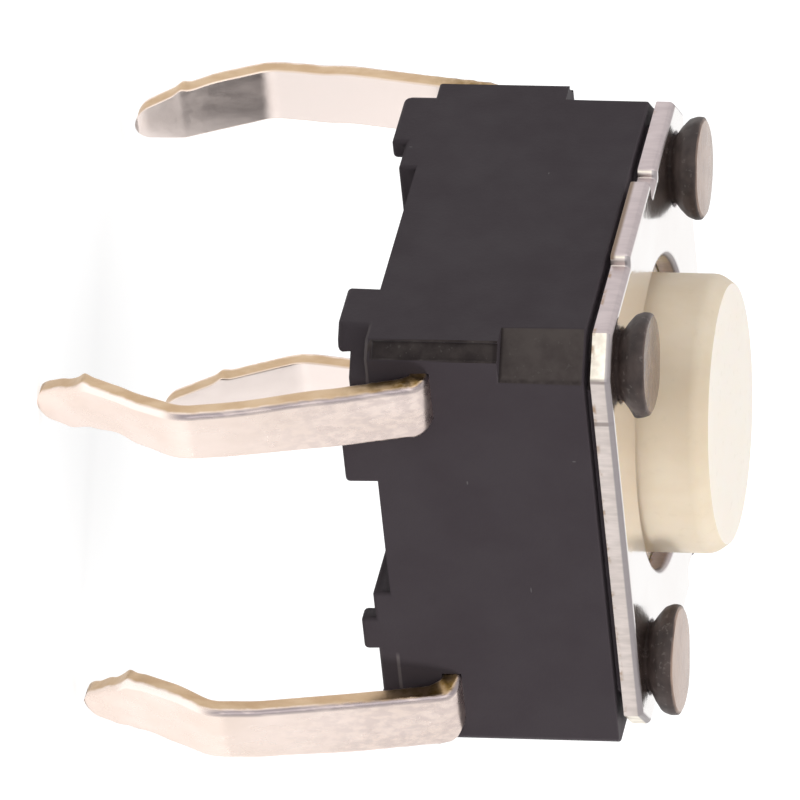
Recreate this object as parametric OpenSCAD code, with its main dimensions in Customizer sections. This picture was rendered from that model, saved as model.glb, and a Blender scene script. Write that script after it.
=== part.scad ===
// Tactile micro switch with a round button and four kinked snap-in leads.
// Millimetres. Z = 0 is the face of the circuit board that the feet rest on, and the leads go
// down through the board. The button's axis is Z. The leads leave the body on its X sides.

/* [Body] */
// Width of the square moulded body along X and Y
body_w = 6.0; // [5.8:0.05:6.2]
// Height of the feet that hold the body off the board
foot_h = 0.4; // [0.3:0.05:0.6]
// Height of the moulded block from its underside to its top face
block_h = 2.72; // [2.7:0.02:3.1]
// Diameter of the round cavity that holds the dome and the button's flange
cavity_d = 4.9; // [4.7:0.05:5.0]
// Leg of the chamfer on the upper part of the two corners at the +Y side
corner_cut = 0.5; // [0.3:0.05:0.6]
// Leg of the small chamfer on the lower part of the same two corners
corner_trim = 0.2; // [0.1:0.05:0.25]
// Leg of the chamfer on the two corners at the -Y side
corner_ease = 0.1; // [0.05:0.01:0.2]
// Height of the upper part that has the large corner chamfers
cut_zone_h = 1.06; // [0.8:0.02:1.4]

/* [Cover plate] */
// Width of the square cover plate along X and Y
plate_w = 5.94; // [5.6:0.02:6.0]
// Thickness of the cover plate
plate_t = 0.25; // [0.2:0.01:0.3]
// Diameter of the hole that the button passes through
plate_hole_d = 3.92; // [3.8:0.02:4.1]
// Leg of the chamfer on the plate's corners
plate_corner = 0.43; // [0.3:0.01:0.6]
// Width of the sheared tab left on the plate's Y edges by its carrier strip
tab_w = 1.7; // [1.2:0.1:2.4]
// Position along X of the middle of that tab
tab_x = -0.24; // [-0.4:0.02:0.4]
// Width of the relief notch beside the tab
notch_w = 0.38; // [0.2:0.02:0.5]
// Depth of the relief notch
notch_d = 0.1; // [0.05:0.01:0.2]
// How far the sheared tab stands out of the plate's edge
tab_out = 0.14; // [0.05:0.01:0.2]

/* [Posts] */
// Distance between the moulded posts along X
post_dx = 4.3; // [4.2:0.02:4.4]
// Distance between the moulded posts along Y
post_dy = 4.44; // [4.3:0.02:4.5]
// Diameter of a post where it passes through the plate
post_d = 0.86; // [0.7:0.02:0.9]
// Diameter of a post's formed head
head_d = 1.32; // [1.1:0.02:1.4]
// Height of a post's formed head above the plate
head_h = 0.38; // [0.3:0.02:0.45]

/* [Button] */
// Height of the button's top above the board
button_top = 4.3; // [4.3:0.1:13]
// Diameter of the button
button_d = 3.5; // [3.3:0.05:3.6]
// Radius of the button's top rim
button_rim = 0.14; // [0.05:0.01:0.3]
// Diameter of the flange that keeps the button under the plate
flange_d = 4.5; // [4.2:0.05:4.6]
// Thickness of the flange
flange_t = 0.5; // [0.4:0.05:0.7]
// Diameter of the boss that presses the dome
boss_d = 1.5; // [1:0.1:2]
// Travel of the button until the dome meets the centre contact
travel = 0.25; // [0.15:0.05:0.25]

/* [Dome] */
// Diameter of the snap dome
dome_d = 4.6; // [4.4:0.05:4.7]
// Thickness of the snap dome
dome_t = 0.08; // [0.06:0.01:0.1]

/* [Terminals] */
// Thickness of the terminal strip
strip_t = 0.25; // [0.22:0.01:0.3]
// Width of the terminal strip and of its leads
strip_w = 0.68; // [0.6:0.02:0.8]
// Height of the strip's underside above the board, inside the body
strip_z = 0.95; // [0.9:0.01:1]
// Distance between the two strips' centre lines along Y
strip_dy = 4.56; // [4.4:0.02:4.6]
// Distance from the button's axis to a lead's centre line at its bend beside the body
lead_root_x = 3.155; // [3.15:0.005:3.2]
// Distance from the button's axis to a lead's centre line at its kink
lead_kink_x = 3.72; // [3.4:0.02:3.8]
// Depth of the kink below the board's face
lead_kink_depth = 1.84; // [1.6:0.02:2.2]
// Distance from the button's axis to a lead's centre line at its tip
lead_tip_x = 2.86; // [2.8:0.02:3.2]
// Depth of the lead's tip below the board's face
lead_tip_depth = 3.7; // [3.4:0.02:4]
// Width of the terminal's contact arms and tongue
arm_w = 0.6; // [0.5:0.05:0.8]
// Height of the embossed contact pads above the strip
pad_h = 0.12; // [0.1:0.01:0.16]

/* [Hidden] */
$fn = 96;

// Heights, from the board up
cut_zone_z = foot_h + block_h - cut_zone_h;
body_top = foot_h + block_h;
ledge_h = 0.08;                         // raised ledge that the plate sits on
ledge_inset = 0.22;                     // distance of the ledge from the body's sides
plate_z = body_top + ledge_h;
plate_top = plate_z + plate_t;
strip_top = strip_z + strip_t;
floor_gap = 0.05;                       // plastic over the strips in the cavity
floor_z = strip_top + floor_gap;        // cavity floor
pad_top = strip_top + pad_h;
play = 0.02;                            // working clearance between touching moving parts
dome_z = pad_top + travel + play;       // underside of the dome's crown
flange_z = plate_z - play - flange_t;

// Feet: lips that touch the board, and pads behind them
lip_t = 0.27;                           // thickness of a lip
lip_h = 0.18;                           // height of a lip below its pad
lip_end = 1.6;                          // outer end of the lips on the X sides
short_pad = [1.7, 0.95];                // inner corner of the short feet's pads and lips
long_pad = [0.93, 0.72];                // inner corner of the long feet's pads
long_lip = [1.5, 1.12];                 // inner ends of the long feet's lips
corner_recess = 0.03;                   // depth of the flat sunk into the lower corner chamfer
corner_band = 0.1;                      // plain band under that flat

// Post heads, measured up from the plate
neck_z = 0.04;                          // top of the straight neck
collar_z = 0.12;                        // top of the collar where the head starts to flare
collar_out = 0.07;                      // how far the collar stands out of the neck
flare_z = 0.24;                         // top of the flare
head_edge = 0.04;                       // softened edges of the head

// Contacts
arm_x = 1.8;                            // centre line of the outer terminal's arms
arm_end_y = -1.5;                       // far end of those arms
rim_pad_y = 1.25;                       // pads under the dome's rim
rim_pad_d = 0.5;
centre_pad_d = 0.8;
dome_rim = 0.2;                         // flat rim of the dome

// Leads
bend_r = 0.17;                          // radii of the strip's centre line at its bends
kink_r = 0.35;
tip_r = 0.25;                           // round end of a lead
tip_blend = 20;                         // angle on that end where the straight taper meets it
taper_depth = 3.05;                     // where the tip starts to narrow

half_w = body_w / 2;
eps = 0.01;
arc_steps = 6;                          // steps in each small round edge

// Cuts one corner of a square of the given half width, along the 45 degree line
function corner_points(sx, sy, h, c) =
    sx * sy > 0 ? [[sx * h, sy * (h - c)], [sx * (h - c), sy * h]]
                : [[sx * (h - c), sy * h], [sx * h, sy * (h - c)]];

// Square outline with one chamfer for the corners at +Y and one for those at -Y
function chamfered_square(h, back, front) = concat(
    corner_points(1, 1, h, back), corner_points(-1, 1, h, back),
    corner_points(-1, -1, h, front), corner_points(1, -1, h, front));

// Unit vector from a to b, and its left normal
function along(a, b) = (b - a) / norm(b - a);
function left_of(d) = [-d[1], d[0]];

// Points of a bend of radius r that rounds the corner b of the line a-b-c, for a strip that is
// offset sideways from that line by s
function bend_points(a, b, c, r, s) =
    let (u = along(a, b), v = along(b, c),
         turn = u[0] * v[1] - u[1] * v[0],
         side = sign(turn),
         angle = acos(u * v),
         reach = r * tan(angle / 2),
         centre = b - u * reach + left_of(u) * side * r,
         rr = r - side * s,
         start = atan2(-side * left_of(u)[1], -side * left_of(u)[0]))
    [for (i = [0:arc_steps]) let (t = start + side * angle * i / arc_steps)
        centre + rr * [cos(t), sin(t)]];

// Centre line of one side of a terminal, from the axis to the tip of its lead
lead_line = [[0, strip_z + strip_t / 2], [lead_root_x, strip_z + strip_t / 2],
             [lead_kink_x, -lead_kink_depth], [lead_tip_x, -lead_tip_depth]];

// One face of that strip, offset sideways by s from the centre line
function lead_face(s) =
    let (p = lead_line, first = left_of(along(p[0], p[1])), last = left_of(along(p[2], p[3])))
    concat([p[0] + first * s],
           bend_points(p[0], p[1], p[2], bend_r, s),
           bend_points(p[1], p[2], p[3], kink_r, s),
           [p[3] + last * s]);

function reversed(list) = [for (i = [len(list) - 1:-1:0]) list[i]];

// Both halves of the bent strip, seen along Y
module strip_profile() {
    outline = concat(lead_face(strip_t / 2), reversed(lead_face(-strip_t / 2)));
    polygon(outline);
    mirror([1, 0]) polygon(outline);
}

// Front outline of a strip, with its narrowed round tip
module strip_front() {
    blend_y = tip_r * cos(tip_blend);
    blend_z = tip_r * (1 - sin(tip_blend)) - lead_tip_depth;
    polygon([[-strip_w / 2, strip_top + eps], [-strip_w / 2, -taper_depth],
             [-blend_y, blend_z], [blend_y, blend_z],
             [strip_w / 2, -taper_depth], [strip_w / 2, strip_top + eps]]);
    translate([0, tip_r - lead_tip_depth]) circle(r = tip_r);
}

// One stamped strip with its two leads, its centre line at the given Y
module bent_strip(y) {
    translate([0, y, 0]) intersection() {
        rotate([90, 0, 0]) linear_extrude(strip_w, center = true) strip_profile();
        rotate([90, 0, 90]) linear_extrude(2 * (lead_kink_x + strip_t), center = true) strip_front();
    }
}

// The straight length of a strip that the body is moulded around
module strip_core(y) {
    translate([-half_w, y - strip_w / 2, strip_z]) cube([body_w, strip_w, strip_t]);
}

// Contact arms of the outer terminal, and their embossed pads
module outer_arms() {
    for (sx = [-1, 1]) {
        translate([sx * arm_x - arm_w / 2, arm_end_y, strip_z])
            cube([arm_w, strip_dy / 2 - arm_end_y, strip_t]);
        for (sy = [-1, 1])
            translate([sx * arm_x, sy * rim_pad_y, strip_z]) cylinder(h = strip_t + pad_h, d = rim_pad_d);
    }
}

// Tongue of the centre terminal, and the pad under the dome's crown
module centre_tongue() {
    translate([-arm_w / 2, -strip_dy / 2, strip_z]) cube([arm_w, strip_dy / 2, strip_t]);
    translate([0, 0, strip_z]) cylinder(h = strip_t + pad_h, d = centre_pad_d);
}

module outer_terminal() {
    color([0.88, 0.84, 0.8]) {
        bent_strip(strip_dy / 2);
        outer_arms();
    }
}

module centre_terminal() {
    color([0.88, 0.84, 0.8]) {
        bent_strip(-strip_dy / 2);
        centre_tongue();
    }
}

// One foot at the +X +Y corner: a pad from the given inner corner, and lips along its outer edges
// from the given inner ends
module foot(pad_in, lip_in) {
    translate([pad_in[0], pad_in[1], lip_h])
        cube([half_w - pad_in[0], half_w - pad_in[1], foot_h - lip_h + eps]);
    translate([lip_in[0], half_w - lip_t, 0])
        cube([half_w - lip_in[0], lip_t, foot_h + eps]);
    translate([half_w - lip_t, lip_in[1], 0])
        cube([lip_t, lip_end - lip_in[1], foot_h + eps]);
}

// A short and a long foot, and the same pair turned half round
module feet() {
    for (a = [0, 180]) rotate([0, 0, a]) {
        mirror([1, 0, 0]) foot(short_pad, short_pad);
        foot(long_pad, long_lip);
    }
}

// A moulded post with the head that is formed over the plate
module post() {
    r = post_d / 2;
    head_r = head_d / 2;
    head_top = plate_top + head_h;
    rotate_extrude() polygon([
        [0, floor_z], [r, floor_z], [r, plate_top + neck_z],
        [r + collar_out, plate_top + collar_z],
        [head_r - head_edge, plate_top + flare_z], [head_r, plate_top + flare_z + head_edge],
        [head_r, head_top - head_edge], [head_r - head_edge, head_top], [0, head_top]]);
}

// Cutters for the flats that are sunk into the lower corner chamfers
module corner_flats() {
    width = corner_trim * sqrt(2) - 2 * corner_recess;
    start_z = foot_h + corner_band;
    for (sx = [-1, 1])
        translate([sx * (half_w - corner_trim / 2), half_w - corner_trim / 2, start_z])
            rotate([0, 0, -sx * 45]) translate([-width / 2, -corner_recess, 0])
                cube([width, 1, cut_zone_z - start_z]);
}

module housing() {
    color([0.29, 0.275, 0.28]) difference() {
        union() {
            intersection() {
                union() {
                    translate([-half_w, -half_w, foot_h]) cube([body_w, body_w, block_h]);
                    feet();
                }
                union() {
                    linear_extrude(foot_h)
                        polygon(chamfered_square(half_w, corner_cut, corner_cut));
                    translate([0, 0, foot_h]) linear_extrude(cut_zone_z - foot_h)
                        polygon(chamfered_square(half_w, corner_trim, corner_ease));
                    translate([0, 0, cut_zone_z]) linear_extrude(cut_zone_h)
                        polygon(chamfered_square(half_w, corner_cut, corner_ease));
                }
            }
            translate([0, 0, body_top - eps]) linear_extrude(ledge_h + eps)
                polygon(chamfered_square(half_w - ledge_inset, corner_cut, corner_cut));
            for (sx = [-1, 1], sy = [-1, 1])
                translate([sx * post_dx / 2, sy * post_dy / 2, 0]) post();
        }
        translate([0, 0, floor_z]) cylinder(h = plate_z - floor_z + eps, d = cavity_d);
        corner_flats();
        strip_core(strip_dy / 2);
        strip_core(-strip_dy / 2);
        outer_arms();
        centre_tongue();
    }
}

// Spherical dome with a flat rim, resting on the outer pads
module snap_dome() {
    crown_r = dome_d / 2 - dome_rim;
    rise = dome_z - pad_top;
    ball_r = (crown_r * crown_r + rise * rise) / (2 * rise);
    spread = asin(crown_r / ball_r);
    steps = 10;
    inner = [for (i = [0:steps]) let (t = spread * i / steps)
        [ball_r * sin(t), dome_z - ball_r + ball_r * cos(t)]];
    outer = [for (p = inner) p + [0, dome_t]];
    color([0.8, 0.8, 0.8]) rotate_extrude() polygon(concat(
        inner, [[dome_d / 2, pad_top], [dome_d / 2, pad_top + dome_t]], reversed(outer)));
}

// Button with its flange and the boss that presses the dome
module plunger() {
    r = button_d / 2;
    boss_z = dome_z + dome_t + play;
    rim = [for (i = [0:arc_steps]) let (t = 90 * i / arc_steps)
        [r - button_rim + button_rim * cos(t), button_top - button_rim + button_rim * sin(t)]];
    color([0.87, 0.84, 0.74]) rotate_extrude() polygon(concat(
        [[0, boss_z], [boss_d / 2, boss_z], [boss_d / 2, flange_z], [flange_d / 2, flange_z],
         [flange_d / 2, flange_z + flange_t], [r, flange_z + flange_t]],
        rim, [[0, button_top]]));
}

// Stamped plate, held by the four formed posts
module cover_plate() {
    color([0.78, 0.78, 0.78]) difference() {
        translate([0, 0, plate_z]) linear_extrude(plate_t) union() {
            difference() {
                polygon(chamfered_square(plate_w / 2, plate_corner, plate_corner));
                for (sy = [-1, 1])
                    translate([tab_x + tab_w / 2 + notch_w / 2, sy * plate_w / 2])
                        square([notch_w, 2 * notch_d], center = true);
            }
            translate([tab_x, 0]) square([tab_w, plate_w + 2 * tab_out], center = true);
        }
        translate([0, 0, plate_z - eps]) cylinder(h = plate_t + 2 * eps, d = plate_hole_d);
        for (sx = [-1, 1], sy = [-1, 1])
            translate([sx * post_dx / 2, sy * post_dy / 2, plate_z - eps])
                cylinder(h = plate_t + 2 * eps, d = post_d);
    }
}

housing();
outer_terminal();
centre_terminal();
snap_dome();
plunger();
cover_plate();
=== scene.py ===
"""Looks of a tactile micro switch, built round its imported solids. Metres, +Z up, board face at Z = 0."""

import math

import bmesh
import bpy
from mathutils import Matrix, Vector, noise


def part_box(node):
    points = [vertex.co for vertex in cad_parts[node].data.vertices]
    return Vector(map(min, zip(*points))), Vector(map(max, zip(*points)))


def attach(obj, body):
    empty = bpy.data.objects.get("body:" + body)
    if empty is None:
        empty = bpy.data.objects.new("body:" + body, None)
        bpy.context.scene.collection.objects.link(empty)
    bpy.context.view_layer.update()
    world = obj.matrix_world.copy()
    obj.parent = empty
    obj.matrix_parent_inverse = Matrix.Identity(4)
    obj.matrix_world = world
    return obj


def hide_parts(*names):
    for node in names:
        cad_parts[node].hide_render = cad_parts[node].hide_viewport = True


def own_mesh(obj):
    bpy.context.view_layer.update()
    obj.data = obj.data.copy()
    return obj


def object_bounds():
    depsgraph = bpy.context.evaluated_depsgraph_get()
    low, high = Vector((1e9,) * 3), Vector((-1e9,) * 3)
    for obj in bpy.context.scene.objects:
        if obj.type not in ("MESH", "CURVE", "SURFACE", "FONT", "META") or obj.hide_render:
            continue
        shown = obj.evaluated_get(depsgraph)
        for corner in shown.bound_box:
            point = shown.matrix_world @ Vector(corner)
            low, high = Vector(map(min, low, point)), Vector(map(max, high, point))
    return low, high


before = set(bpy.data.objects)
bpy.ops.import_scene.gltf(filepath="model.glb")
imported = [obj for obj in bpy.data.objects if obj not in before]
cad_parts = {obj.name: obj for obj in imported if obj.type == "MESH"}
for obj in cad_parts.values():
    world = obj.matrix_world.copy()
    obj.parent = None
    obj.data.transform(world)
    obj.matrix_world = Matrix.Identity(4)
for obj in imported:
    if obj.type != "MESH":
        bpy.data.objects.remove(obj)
cad_low, cad_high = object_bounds()

MM = 0.001
TURN = 2 * math.pi
PICTURE_SIDE = 800                      # width and height of the picture, in pixels

# ---------------------------------------------------------------- sizes, from the solids
plate_low, plate_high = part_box("cover_plate")
body_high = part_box("housing")[1]
button_low, button_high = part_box("plunger")
strip_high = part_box("outer_terminal")[1]
dome_low, dome_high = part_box("snap_dome")

HALF_BODY = body_high.x
PLATE_Z = plate_low.z
PLATE_TOP = plate_high.z
PLATE_HALF = plate_high.x

# ---------------------------------------------------------------- sizes of the finer forms
STRIP_THICK = 0.25 * MM
STRIP_WIDTH = 0.68 * MM
STRIP_Y = strip_high.y - STRIP_WIDTH / 2    # middle of a strip, off the switch's axis
STRIP_MIDDLE_Z = 1.075 * MM             # middle of the strip inside the body
LEAD_ROOT_X = 3.155 * MM                # bend beside the body
LEAD_KINK_X = 3.72 * MM
TIP_SLOPE = 0.86 / 1.86                 # how far a lead comes back in below its kink, for its drop
LEAD_START_X = 2.94 * MM                # where a lead leaves the part of the strip that is inside
BEND_RADIUS = 0.17 * MM
KINK_RADIUS = 0.55 * MM
TIP_RADIUS = 0.25 * MM
TIP_BLEND = math.radians(20)

POST_X, POST_Y = 2.15 * MM, 2.22 * MM
POST_RADIUS = 0.43 * MM
HEAD_RADIUS = 0.663 * MM

BUTTON_RADIUS = 1.75 * MM
RIM_DROP, RIM_WIDTH = 0.17 * MM, 0.12 * MM   # sloping rim of the button's end
RIM_ROUND = 0.25 * MM
FLANGE_THICK = 0.5 * MM
FLANGE_TOP = 3.18 * MM
BOSS_RADIUS = 0.75 * MM

PLATE_CORNER = 0.43 * MM
HOLE_RADIUS = 1.96 * MM
TAB_LEFT, TAB_RIGHT = -1.09 * MM, 0.61 * MM   # ends of the sheared tab on each Y edge
NOTCH_WIDTH, NOTCH_DEPTH = 0.38 * MM, 0.1 * MM

# ---------------------------------------------------------------- camera
VIEW_TURN = math.radians(35.31)         # round the switch, from its X axis
VIEW_RISE = math.radians(10.86)         # above the board's face
VIEW_ROLL = math.radians(1.31)
VIEW_DISTANCE = 200 * MM
VIEW_CLIP = (0.01, 5.0)                 # nearest and farthest seen
VIEW_AIM = Vector((0.059, 0.054, 0.087)) * MM
SENSOR = 36.0
PIXELS_PER_MM = 79.7                    # at the aim


def add_camera():
    """The switch lies on its side in the picture: its +Z points to the picture's right."""
    axis = Vector((0, 0, 1))
    along = Vector((math.cos(VIEW_TURN), -math.sin(VIEW_TURN), 0))
    forward = along * math.cos(VIEW_RISE) - axis * math.sin(VIEW_RISE)
    level_right = axis * math.cos(VIEW_RISE) + along * math.sin(VIEW_RISE)
    level_up = Vector((math.sin(VIEW_TURN), math.cos(VIEW_TURN), 0))
    right = level_right * math.cos(VIEW_ROLL) + level_up * math.sin(VIEW_ROLL)
    up = level_up * math.cos(VIEW_ROLL) - level_right * math.sin(VIEW_ROLL)
    data = bpy.data.cameras.new("camera")
    data.sensor_width = SENSOR
    data.lens = SENSOR * VIEW_DISTANCE / MM * PIXELS_PER_MM / PICTURE_SIDE
    data.clip_start, data.clip_end = VIEW_CLIP
    camera = bpy.data.objects.new("camera", data)
    turned = Matrix((right, up, -forward)).transposed().to_4x4()
    camera.matrix_world = Matrix.Translation(VIEW_AIM - forward * VIEW_DISTANCE) @ turned
    bpy.context.collection.objects.link(camera)
    bpy.context.scene.camera = camera


add_camera()


# ---------------------------------------------------------------- shader helpers
def plug(tree, socket, value):
    """Sets a socket, or links it when the value is another node's output."""
    if isinstance(value, bpy.types.NodeSocket):
        tree.links.new(value, socket)
    else:
        socket.default_value = value


def node(tree, kind, inputs=None, **settings):
    """Adds a shader node with the given settings and sockets."""
    made = tree.nodes.new("ShaderNode" + kind)
    for name, value in settings.items():
        setattr(made, name, value)
    for key, value in (inputs or {}).items():
        plug(tree, made.inputs[key], value)
    return made


def maths(tree, operation, a, b=0.0, clamp=False):
    return node(tree, "Math", {0: a, 1: b}, operation=operation, use_clamp=clamp).outputs[0]


def overlap(tree, mask, *others):
    """The product of masks: full only where all of them are."""
    for other in others:
        mask = maths(tree, "MULTIPLY", mask, other)
    return mask


def fade(tree, value, low, high, to_low=0.0, to_high=1.0):
    """Value from low to high, turned smoothly into to_low to to_high."""
    inputs = {"Value": value, "From Min": low, "From Max": high, "To Min": to_low, "To Max": to_high}
    return node(tree, "MapRange", inputs, interpolation_type="SMOOTHSTEP").outputs["Result"]


def blend_colour(tree, factor, a, b):
    """Colour a where the factor is 0 and b where it is 1."""
    made = tree.nodes.new("ShaderNodeMix")
    made.data_type = "RGBA"
    plug(tree, made.inputs[0], factor)
    plug(tree, made.inputs[6], a)
    plug(tree, made.inputs[7], b)
    return made.outputs[2]


def colour(r, g, b):
    return (r, g, b, 1.0)


def place_in_mm(tree):
    """Object coordinates, in millimetres."""
    where = node(tree, "TexCoord").outputs["Object"]
    return node(tree, "VectorMath", {0: where, "Scale": 1 / MM}, operation="SCALE").outputs[0]


def axis_value(tree, vector, axis):
    """One part of a vector: 0 for X, 1 for Y, 2 for Z."""
    return node(tree, "SeparateXYZ", {0: vector}).outputs[axis]


def facing(tree):
    """The surface's own normal."""
    return node(tree, "NewGeometry").outputs["Normal"]


def blank_tree(owner):
    """The node tree of a material or of the world, emptied."""
    owner.use_nodes = True
    owner.node_tree.nodes.clear()
    return owner.node_tree


def show(tree, shader, kind="Material"):
    """Makes a shader the surface of a material, or the world."""
    output = tree.nodes.new("ShaderNodeOutput" + kind)
    tree.links.new(shader.outputs[0], output.inputs["Surface"])


def new_group(name, inputs, result, kind):
    """A node group with number inputs, given as name and value, and one result of the given kind."""
    group = bpy.data.node_groups.new(name, "ShaderNodeTree")
    for label, value in inputs.items():
        socket = group.interface.new_socket(label, in_out="INPUT", socket_type="NodeSocketFloat")
        socket.default_value = value
    group.interface.new_socket(result, in_out="OUTPUT", socket_type="NodeSocket" + kind)
    return group, group.nodes.new("NodeGroupInput").outputs, group.nodes.new("NodeGroupOutput").inputs


def use_group(tree, group, **inputs):
    """Adds a node group with the given inputs, and gives its result."""
    made = tree.nodes.new("ShaderNodeGroup")
    made.node_tree = group
    for name, value in inputs.items():
        plug(tree, made.inputs[name], value)
    return made.outputs[0]


# ---------------------------------------------------------------- shader groups
def stretched_place(group, stretch):
    """Object coordinates in millimetres, squeezed along Z so that a pattern on them is drawn out."""
    squeeze = node(group, "CombineXYZ", {0: 1.0, 1: 1.0, 2: maths(group, "DIVIDE", 1.0, stretch)})
    scaled = node(group, "VectorMath", {0: place_in_mm(group), 1: squeeze.outputs[0]}, operation="MULTIPLY")
    return scaled.outputs[0]


def make_mottle():
    """Soft cloudy variation. Size is in millimetres, and Stretch draws the clouds out along Z."""
    group, given, result = new_group(
        "cloudy variation", {"Size": 1.0, "Stretch": 1.0, "Low": 0.0, "High": 1.0}, "Value", "Float")
    where = stretched_place(group, given["Stretch"])
    scale = maths(group, "DIVIDE", 1.0, given["Size"])
    cloud = node(group, "TexNoise", {"Vector": where, "Scale": scale, "Detail": 4.0, "Roughness": 0.55})
    plug(group, result["Value"], fade(group, cloud.outputs[0], 0.3, 0.7, given["Low"], given["High"]))
    return group


def make_grain():
    """Fine surface relief as a normal. Size is in millimetres, Depth in metres."""
    group, given, result = new_group(
        "fine relief", {"Size": 0.05, "Depth": 0.004 * MM, "Stretch": 1.0}, "Normal", "Vector")
    where = stretched_place(group, given["Stretch"])
    scale = maths(group, "DIVIDE", 1.0, given["Size"])
    bumps = node(group, "TexNoise", {"Vector": where, "Scale": scale, "Detail": 3.0})
    relief = node(group, "Bump", {"Strength": 1.0, "Distance": given["Depth"], "Height": bumps.outputs[0]})
    plug(group, result["Normal"], relief.outputs[0])
    return group


def make_worn_and_highlit_edge():
    """A mask of the outer edges, broken up by noise: worn edges that also serve as a painted highlight.
    Radius is in metres.
    """
    group, given, result = new_group("worn and highlit edge", {"Radius": 0.04 * MM, "Patchiness": 0.5}, "Mask", "Float")
    rounded = node(group, "Bevel", {"Radius": given["Radius"]}, samples=6).outputs[0]
    bend = node(group, "VectorMath", {0: rounded, 1: facing(group)}, operation="DOT_PRODUCT")
    edge = fade(group, bend.outputs["Value"], 0.99, 0.9)
    patch = node(group, "TexNoise", {"Vector": place_in_mm(group), "Scale": 3.0, "Detail": 3.0})
    broken = fade(group, patch.outputs[0], maths(group, "MULTIPLY", given["Patchiness"], 0.6), 0.75)
    plug(group, result["Mask"], overlap(group, edge, broken))
    return group


MOTTLE = make_mottle()
GRAIN = make_grain()
WORN_AND_HIGHLIT_EDGE = make_worn_and_highlit_edge()


def mottle(tree, size, **more):
    """Cloudy variation of a size in millimetres."""
    return use_group(tree, MOTTLE, Size=size, **more)


def grain(tree, size, depth, **more):
    """A normal with fine relief, of a size and a depth in millimetres."""
    return use_group(tree, GRAIN, Size=size, Depth=depth * MM, **more)


def mottled(tree, size, dark, pale, **more):
    """A colour that drifts between two tones in clouds of a size in millimetres."""
    return blend_colour(tree, mottle(tree, size, **more), colour(*dark), colour(*pale))


# ---------------------------------------------------------------- materials
def new_material(name):
    """An empty material, its node tree and the sockets of its skin."""
    material = bpy.data.materials.new(name)
    tree = blank_tree(material)
    shader = node(tree, "BsdfPrincipled")
    show(tree, shader)
    return material, tree, shader.inputs


# Places on the base, in mm. In a pair, a feature is absent at the first and full at the second.
CORNER_FOOT = (0.36, 0.42)              # heights where the corners' olive cast begins
CORNER_UPPER = (2.0, 2.1)               # heights where the paler, upper part of a corner begins
SHELF_SHADE_LOWER = (1.98, 2.03)         # heights of the painted shadow line across the chamfered corner, at its shelf
SHELF_SHADE_UPPER = (2.11, 2.06)
CORNER_SIDE_SHADE = (2.56, 2.52)         # broken painted shadow line along Y, beside a corner's upper part
LEAD_HIGHLIGHT_HEIGHT = 0.42                 # painted highlight on the block's lower edge, beside the leads
LEAD_HIGHLIGHT_HALF = (0.03, 0.01)           # half of its width
LEAD_HIGHLIGHT_SIDE = (-2.4, -2.6)           # along X: it shows on the -X side only
LEAD_HIGHLIGHT_REACH = ((2.42, 3.0), (-2.2, -1.66))   # its ends along Y
LEAD_HIGHLIGHT_SOFT = 0.05                   # how softly it ends there
# Small pale scratches on the block: where each one is, and how far it reaches along X, Y and Z
MARKS = (
    ((-3.0, 0.99, 1.54), (0.05, 0.035, 0.012)),
    ((-3.0, 1.35, 2.91), (0.05, 0.012, 0.03)),
    ((-3.0, -0.62, 2.2), (0.05, 0.05, 0.010)),
    ((1.38, 3.0, 0.27), (0.012, 0.05, 0.03)),
    ((-2.67, 3.0, 0.28), (0.02, 0.05, 0.012)),
    ((0.86, 3.0, 2.11), (0.03, 0.05, 0.012)),
)
SCRATCH_AND_EDGE_LIGHT = (0.16, 0.15, 0.15)          # scratched plastic; on worn edges also a painted highlight


def mark(tree, where, spot, reach):
    """A mask of one small mark: strongest at its middle and 0 at its reach."""
    off = node(tree, "VectorMath", {0: where, 1: spot}, operation="SUBTRACT").outputs[0]
    scaled = node(tree, "VectorMath", {0: off, 1: reach}, operation="DIVIDE").outputs[0]
    size = node(tree, "VectorMath", {0: scaled}, operation="LENGTH").outputs["Value"]
    return fade(tree, size, 1.0, 0.4, 0.0, 0.6)


def lead_edge_highlights(tree, where):
    """A mask of the painted highlights along the block's lower edge on the -X side, beside the leads."""
    off = maths(tree, "ABSOLUTE", maths(tree, "SUBTRACT", axis_value(tree, where, 2), LEAD_HIGHLIGHT_HEIGHT))
    on_side = fade(tree, axis_value(tree, where, 0), *LEAD_HIGHLIGHT_SIDE)
    across_y = axis_value(tree, where, 1)
    soft = LEAD_HIGHLIGHT_SOFT
    reach = 0.0
    for low, high in LEAD_HIGHLIGHT_REACH:
        inside = overlap(tree, fade(tree, across_y, low - soft, low + soft),
                         fade(tree, across_y, high + soft, high - soft))
        reach = maths(tree, "MAXIMUM", reach, inside)
    return overlap(tree, fade(tree, off, *LEAD_HIGHLIGHT_HALF), on_side, reach, 0.7)


def corner_shadow_lines(tree, where, upper):
    """A mask of the painted shadow lines round the upper part of a chamfered corner."""
    height = axis_value(tree, where, 2)
    shelf = overlap(tree, fade(tree, height, *SHELF_SHADE_LOWER), fade(tree, height, *SHELF_SHADE_UPPER))
    side = fade(tree, axis_value(tree, where, 1), *CORNER_SIDE_SHADE)
    return maths(tree, "MAXIMUM", shelf, overlap(tree, side, upper, mottle(tree, 0.25, Low=0.1)))


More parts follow.
